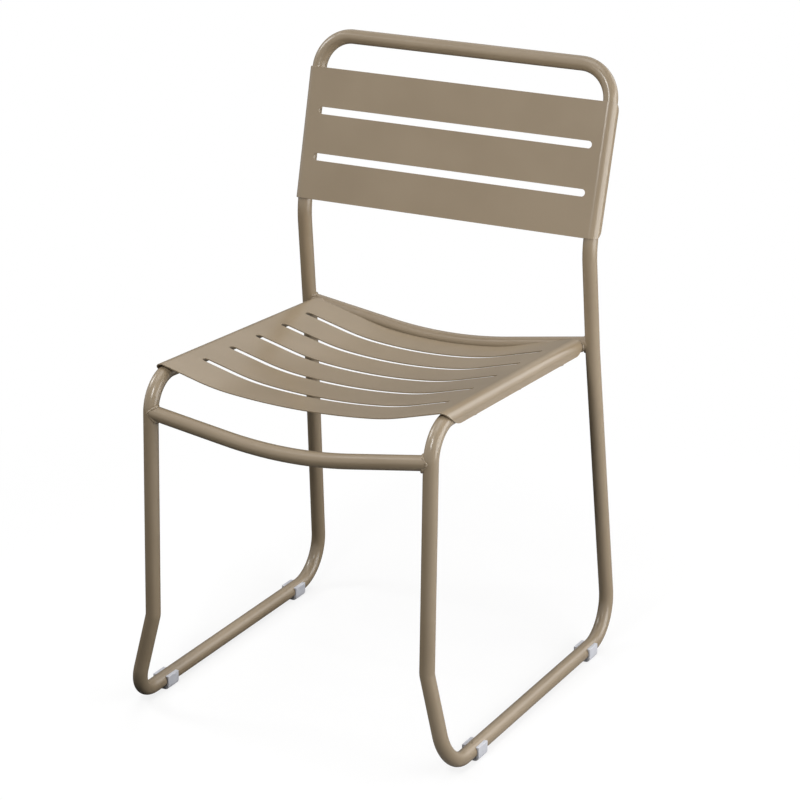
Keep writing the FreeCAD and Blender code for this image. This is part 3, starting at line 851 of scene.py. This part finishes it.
def lay_bead(bm, points, sizes):
    """Lay a weld bead along a row of points, with a size for each of them."""
    for start, end, size in zip(points, points[1:], sizes):
        count = max(1, round((end - start).length / PUDDLE_STEP))
        for i in range(count):
            drift = Vector([puddles.uniform(-1, 1) for _ in range(3)]) * size * PUDDLE_DRIFT
            place = start.lerp(end, i / count) + drift
            radius = size * puddles.uniform(1 - PUDDLE_UNEVEN, 1 + PUDDLE_UNEVEN)
            bmesh.ops.create_icosphere(bm, subdivisions=2, radius=radius,
                                       matrix=Matrix.Translation(place))


def melt(obj):
    """Melt a row of balls into one skin."""
    skin = obj.modifiers.new("melt", "REMESH")
    skin.mode = "VOXEL"
    skin.voxel_size = BEAD_VOXEL
    skin.use_smooth_shade = True
    calm = obj.modifiers.new("surface tension", "SMOOTH")
    calm.factor = 0.5
    calm.iterations = TENSION_ROUNDS


def on_side(points, side):
    """Points of the chair's left, or the same points on its right."""
    return points if side == "left" else [flipped(point) for point in points]


# %% [markdown]
# Four seams run all the way round the end of a stretcher, and two more join each rail to the
# rear stretcher. Above and below the branch tube the two surfaces meet in a square corner, and
# the bead fills it. At the sides they run into each other, and the bead sinks to a low ridge.

# %% Weld beads
SEAM_POINTS = 40
BEAD_SIZE = mm(2.2)
BEAD_OUT = 0.35
BEAD_SLOPE = 1.3
BEAD_SUNK = 0.8
BEAD_THIN = 0.3

leg_line = (SIDE_CORNERS[5] - SIDE_CORNERS[4]).normalized()
upright_line = (SIDE_CORNERS[0] - SIDE_CORNERS[1]).normalized()
inwards = Vector((-math.cos(STRETCHER_RISE), 0, -math.sin(STRETCHER_RISE)))
rail_line = (RAIL_END - RAIL_FRONT).normalized()


def seam(crossing, carrier, branch):
    """The bead's middle line and its sizes, all the way round a seam."""
    points = []
    sizes = []
    for i in range(SEAM_POINTS + 1):
        found, out, flatness = seam_point(crossing, carrier, branch, 2 * math.pi * i / SEAM_POINTS)
        flatness = max(0.0, flatness)
        size = BEAD_SIZE * (1 - BEAD_THIN * flatness)
        points.append(found + out * size * max(BEAD_OUT - BEAD_SLOPE * flatness, -BEAD_SUNK))
        sizes.append(size)
    return points, sizes


seams = {
    "weld_front": seam(FRONT_END, leg_line, inwards),
    "weld_rear": seam(REAR_END, upright_line, inwards),
    "weld_rail": seam(RAIL_END, inwards, -rail_line),
}
for name, (points, sizes) in seams.items():
    for side in ("left", "right"):
        bm = bmesh.new()
        lay_bead(bm, on_side(points, side), sizes)
        melt(piece(name + "_bead_" + side, bm, weld_coat, "powder_coat", name + "_" + side))

# %% [markdown]
# Under the rolled edges of seat and back, short tacks hold sheet to tube. They are made the
# same way, along a short straight line.

# %% Tack welds
TACK_LENGTH = mm(10.0)
TACK_SIZE = mm(2.0)
TACK_SHARES = {"seat_tacks": (0.12, 0.5, 0.88), "back_tacks": (0.12, 0.88)}


def tack_paths(start, end, edge, shares):
    """Short lines along a tube, at shares of its length, moved out to the sheet's edge."""
    line = (end - start).normalized()
    half = line * (TACK_LENGTH / 2 - TACK_SIZE)
    middles = [start.lerp(end, share) + edge for share in shares]
    return [[middle - half, middle + half] for middle in middles]


seat_ends = [rail_at(SEAT_FRONT + SEAT_FRONT_CORNER[0]), rail_at(SEAT_REAR - SEAT_REAR_CORNER[0])]
seat_edge = Vector((ROLL_RADIUS - TACK_SIZE / 2, 0, -SEAT_DROP))
back_ends = [BACK_BASE + Vector((BACK_HALF, 0, 0)) + up_the_back * rise
             for rise in (BACK_LOW + BACK_CORNER[0], BACK_HIGH - BACK_CORNER[0])]
back_edge = Vector((ROLL_RADIUS - TACK_SIZE / 2, 0, 0)) - BACK_FORWARD * BACK_DROP
tack_rows = {
    "seat_tacks": tack_paths(*seat_ends, seat_edge, TACK_SHARES["seat_tacks"]),
    "back_tacks": tack_paths(*back_ends, back_edge, TACK_SHARES["back_tacks"]),
}
for name, paths in tack_rows.items():
    for side in ("left", "right"):
        bm = bmesh.new()
        for path in paths:
            lay_bead(bm, on_side(path, side), [TACK_SIZE])
        melt(piece(name + "_bead_" + side, bm, weld_coat, "powder_coat", name + "_" + side))

# %% [markdown]
# ## Plastic feet
# Four clips are pushed on to the runners from below. Each is a block with rounded lower edges
# and a round channel for the tube. Its arms reach a little above the tube's middle, so they
# snap round it. Half of the section is drawn with one vertex, which is pulled along the
# straight parts and spun round the curved ones.


# %% Drawing helpers
def pull(bm, vert, x, y):
    """Pull a new vertex out of one, along an edge."""
    made = bmesh.ops.extrude_vert_indiv(bm, verts=[vert])["verts"][0]
    made.co = (x, y, 0)
    return made


def arc(bm, vert, centre, angle, steps):
    """Spin a vertex round a centre and leave an arc of edges behind it."""
    made = bmesh.ops.spin(bm, geom=[vert], cent=centre, axis=(0, 0, 1), angle=angle,
                          steps=steps, use_duplicate=False)
    return next(item for item in made["geom_last"] if isinstance(item, bmesh.types.BMVert))


# %% [markdown]
# The half section is mirrored and filled, the face is extruded to the clip's length, and its
# edges are rounded as a moulding's are.

# %% Foot
FOOT_LENGTH = mm(24.5)
FOOT_SOLE = mm(2.5)
FOOT_WALL = mm(2.2)
FOOT_ROUND = mm(6.0)
FOOT_ARM = mm(6.6)
FOOT_CHANNEL = mm(9.6)
FOOT_EDGE = mm(0.5)
FOOT_EDGE_ANGLE = math.radians(40)
ROUND_STEPS = 9
CHANNEL_STEPS = 24


def foot():
    """A clip round a tube that runs along Z."""
    half = TUBE_RADIUS + FOOT_WALL
    bottom = -TUBE_RADIUS - FOOT_SOLE
    tip = math.asin(FOOT_ARM / FOOT_CHANNEL)
    bm = bmesh.new()
    pen = bm.verts.new((0, bottom, 0))
    pen = pull(bm, pen, half - FOOT_ROUND, bottom)
    pen = arc(bm, pen, (half - FOOT_ROUND, bottom + FOOT_ROUND, 0), math.pi / 2, ROUND_STEPS)
    pen = pull(bm, pen, half, FOOT_ARM)
    pen = pull(bm, pen, FOOT_CHANNEL * math.cos(tip), FOOT_ARM)
    arc(bm, pen, (0, 0, 0), -tip - math.pi / 2, CHANNEL_STEPS)
    bmesh.ops.mirror(bm, geom=bm.verts[:] + bm.edges[:], axis="X", merge_dist=SNAP)
    bmesh.ops.contextual_create(bm, geom=bm.edges[:])

    made = bmesh.ops.extrude_face_region(bm, geom=bm.faces[:])["geom"]
    tops = [item for item in made if isinstance(item, bmesh.types.BMVert)]
    bmesh.ops.translate(bm, vec=(0, 0, FOOT_LENGTH), verts=tops)
    bmesh.ops.translate(bm, vec=(0, 0, -FOOT_LENGTH / 2), verts=bm.verts)
    bmesh.ops.recalc_face_normals(bm, faces=bm.faces)
    sharp = [e for e in bm.edges if e.calc_face_angle(0) > FOOT_EDGE_ANGLE]
    bmesh.ops.bevel(bm, geom=sharp, offset=FOOT_EDGE, offset_type="OFFSET", affect="EDGES",
                    segments=EDGE_SEGMENTS, profile=0.5, material=-1, clamp_overlap=False)
    return bm


# %% [markdown]
# The runners spread a little towards the front, so each clip is turned to follow its tube.

# %% Four feet
FEET = {
    "front": mm(222.93, -167.34, 12.0),
    "rear": mm(221.76, 163.32, 12.0),
}
along = (SIDE_CORNERS[3] - SIDE_CORNERS[2]).normalized()
across = Vector((0, 0, 1)).cross(along).normalized()
foot_turn = Matrix((across, along.cross(across), along)).transposed().to_4x4()

for place_name, centre in FEET.items():
    for side in ("left", "right"):
        bm = foot()
        bmesh.ops.transform(bm, matrix=Matrix.Translation(centre) @ foot_turn, verts=bm.verts)
        if side == "right":
            bmesh.ops.scale(bm, vec=(-1, 1, 1), verts=bm.verts)
        name = place_name + "_" + side
        flatten_shading(piece("foot_" + name, bm, plastic, "clear_plastic", "glide_" + name))

# %% [markdown]
# The spigots stay as the CAD has them, inside the tubes. They only need their finish.

# %% Spigots
for side in ("left", "right"):
    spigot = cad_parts["hoop_sleeve_" + side]
    spigot.data.materials.clear()
    spigot.data.materials.append(bare_steel)
    print(spigot.name, "is bare steel")

# %% [markdown]
# ## Studio
# The photograph is a product shot on white, so the floor is a disc that is wider than any view.

# %% Floor
FLOOR_RADIUS = 15.0

disc = bmesh.new()
bmesh.ops.create_circle(disc, cap_ends=True, segments=64, radius=FLOOR_RADIUS)
floor = to_object("floor", disc)
print("floor is", 2 * FLOOR_RADIUS, "m wide")

# %% [markdown]
# The floor shows pure white to the camera away from the chair, and keeps the chair's faint, soft
# shadow near it. What the tubes mirror is another matter: their right flanks are light and their
# left ones dark. So for mirrored and bounced rays the floor's colour is painted: a pale painted
# spill of light on the right and a near-black painted shade on the left, where no cloth lies. It
# only glows like the background further away.


# %% White background helper
def sees_background(tree):
    """1 for a ray that should see the white background: from camera, gloss or clear plastic."""
    path = node(tree, "ShaderNodeLightPath").outputs
    seen = path["Is Camera Ray"]
    for kind in ("Is Glossy Ray", "Is Transmission Ray"):
        either = node(tree, "ShaderNodeMath", {"operation": "MAXIMUM"})
        tree.links.new(seen, either.inputs[0])
        tree.links.new(path[kind], either.inputs[1])
        seen = either.outputs[0]
    return seen


# %% [markdown]
# So the floor's shader mixes matt paint with a white glow. What the mix depends on is only the
# kind of ray and the distance from the chair.

# %% Floor material
SHADOW_RADIUS = 0.55
SHADOW_SHARE = 0.2
MIRROR_RADIUS = 2.5
PAINTED_SHADE_EDGE = (-0.2, 0.6)
PAINTED_SHADE_TONE = 0.06
PAINTED_SPILL_TONE = 0.5
FLOOR_WHITE = 0.95

white, tree = new_material("white_studio_floor")
camera_ray = node(tree, "ShaderNodeLightPath").outputs["Is Camera Ray"]
place = node(tree, "ShaderNodeTexCoord").outputs["Object"]
distance = node(tree, "ShaderNodeVectorMath", {"operation": "LENGTH"}, Vector=place)
seen = node(tree, "ShaderNodeMapRange", {"interpolation_type": "SMOOTHSTEP"},
            Value=distance.outputs["Value"], From_Min=SHADOW_RADIUS, From_Max=2 * SHADOW_RADIUS,
            To_Min=1 - SHADOW_SHARE)
mirrored = node(tree, "ShaderNodeMapRange", {"interpolation_type": "SMOOTHSTEP"},
                Value=distance.outputs["Value"], From_Min=MIRROR_RADIUS,
                From_Max=2 * MIRROR_RADIUS, To_Max=sees_background(tree))
share = node(tree, "ShaderNodeMix", Factor=camera_ray, A=mirrored.outputs["Result"],
             B=seen.outputs["Result"])
# For mirrored and bounced rays the floor's colour runs from a near-black painted shade on the left
# to a pale painted spill of light on the right
sideways = node(tree, "ShaderNodeSeparateXYZ", Vector=place).outputs["X"]
painted_spill_and_shade = node(tree, "ShaderNodeMapRange", {"interpolation_type": "SMOOTHSTEP"}, Value=sideways,
           From_Min=PAINTED_SHADE_EDGE[0], From_Max=PAINTED_SHADE_EDGE[1], To_Min=PAINTED_SHADE_TONE, To_Max=PAINTED_SPILL_TONE)
tone = node(tree, "ShaderNodeMapRange", Value=camera_ray, To_Min=painted_spill_and_shade.outputs["Result"],
            To_Max=FLOOR_WHITE)
matt = node(tree, "ShaderNodeBsdfDiffuse", Color=tone.outputs["Result"])
glow = node(tree, "ShaderNodeEmission", Strength=1.0)
mix = node(tree, "ShaderNodeMixShader", Fac=share.outputs["Result"])
tree.links.new(matt.outputs["BSDF"], mix.inputs[1])
tree.links.new(glow.outputs["Emission"], mix.inputs[2])
node(tree, "ShaderNodeOutputMaterial", Surface=mix.outputs["Shader"])
floor.data.materials.append(white)

# %% [markdown]
# The world is plain white to the camera, to gloss and to clear plastic, and a softer grey
# where it lights the chair.

# %% World
WORLD_LIGHT = 0.05

world = bpy.data.worlds.new("studio")
scene.world = world
world.use_nodes = True
tree = world.node_tree
tree.nodes.clear()
strength = node(tree, "ShaderNodeMapRange", Value=sees_background(tree),
                To_Min=WORLD_LIGHT, To_Max=1.0)
sky = node(tree, "ShaderNodeBackground", Color=(1, 1, 1, 1), Strength=strength.outputs["Result"])
node(tree, "ShaderNodeOutputWorld", Surface=sky.outputs["Background"])
print("world lights the chair at", WORLD_LIGHT)

# %% [markdown]
# At a flat angle even satin paint mirrors what is behind it. The real seat mirrors something
# darker than the white background, and that keeps its colour. So a card that glows a fixed grey
# stands behind the chair, which only mirrored rays can see. It is lit by no lamp and lights
# nothing, so it is a painted reflection in the seat's gloss.

# %% Glowing grey card
CARD_SIZE = (4.6, 1.6)
CARD_AZIMUTH = 210
CARD_DISTANCE = 2.6
CARD_GLOW_TONE = "#848484"

grey, tree = new_material("glowing_grey_card")
# The card's grey is an emission: a painted reflection that only gloss sees
card_glow = node(tree, "ShaderNodeEmission", Color=paint(CARD_GLOW_TONE), Strength=1.0)
node(tree, "ShaderNodeOutputMaterial", Surface=card_glow.outputs["Emission"])

to_card = towards(CARD_AZIMUTH, 0)
card_place = to_card * CARD_DISTANCE + Vector((0, 0, CARD_SIZE[1] / 2))
card_turn = (-to_card).to_track_quat("Z", "Y").to_matrix().to_4x4()
bm = bmesh.new()
bmesh.ops.create_grid(bm, x_segments=1, y_segments=1, size=0.5)
bmesh.ops.scale(bm, vec=(*CARD_SIZE, 1), verts=bm.verts)
bmesh.ops.transform(bm, matrix=Matrix.Translation(card_place) @ card_turn, verts=bm.verts)
card = to_object("glowing_grey_card", bm)
card.data.materials.append(grey)
card.visible_camera = False
card.visible_diffuse = False
card.visible_transmission = False
card.visible_shadow = False
print("grey card stands", CARD_DISTANCE, "m behind the chair")

# %% [markdown]
# The coat says where the lamps stood. The sheets' rolled sides on the right are evenly light,
# so a large panel stands low on that side, with a weaker one behind it. Thin streaks run down
# each front bend, and the rule of mirrors gives their directions: a narrow strip in front and a
# box on the left. A long tube higher up on the left draws a fine line along the hoop. The fill
# behind lights the chair's back, but no paint mirrors it. A lamp's level is 1 where a white card
# facing it would look white, which takes the power below.

# %% Lamps
LAMP_TARGET = Vector((0, 0, 0.42))


def softbox(name, azimuth, elevation, distance, size, level, mirrored=True):
    """A rectangular area lamp that looks at the chair from a direction."""
    back = towards(azimuth, elevation)
    lamp = bpy.data.lights.new(name, "AREA")
    lamp.shape = "RECTANGLE"
    lamp.size, lamp.size_y = size
    lamp.energy = level * (math.pi * distance) ** 2
    obj = bpy.data.objects.new(name, lamp)
    scene.collection.objects.link(obj)
    obj.location = LAMP_TARGET + back * distance
    obj.rotation_mode = "QUATERNION"
    obj.rotation_quaternion = back.to_track_quat("Z", "Y")
    obj.visible_glossy = mirrored
    print(name, "radiance", round(lamp.energy / math.pi / size[0] / size[1], 1))


# Degrees to the chair's left and up, metres away, width and height, and level
softbox("right_panel", 98, 9, 1.6, (1.75, 1.0), 1.0)
softbox("rear_panel", 147, 22, 2.6, (1.6, 1.2), 0.16)
softbox("rear_fill", 195, 35, 2.6, (2.0, 1.2), 0.4, mirrored=False)
softbox("front_strip", 4, 38, 1.55, (0.2, 0.55), 0.46)
softbox("left_softbox", -82, 33, 2.4, (0.7, 0.6), 0.27)
softbox("left_tube", -66, 50, 2.4, (2.0, 0.1), 0.09)
softbox("top_softbox", 0, 85, 2.4, (1.6, 1.6), 0.32)

scene.view_settings.view_transform = "Standard"
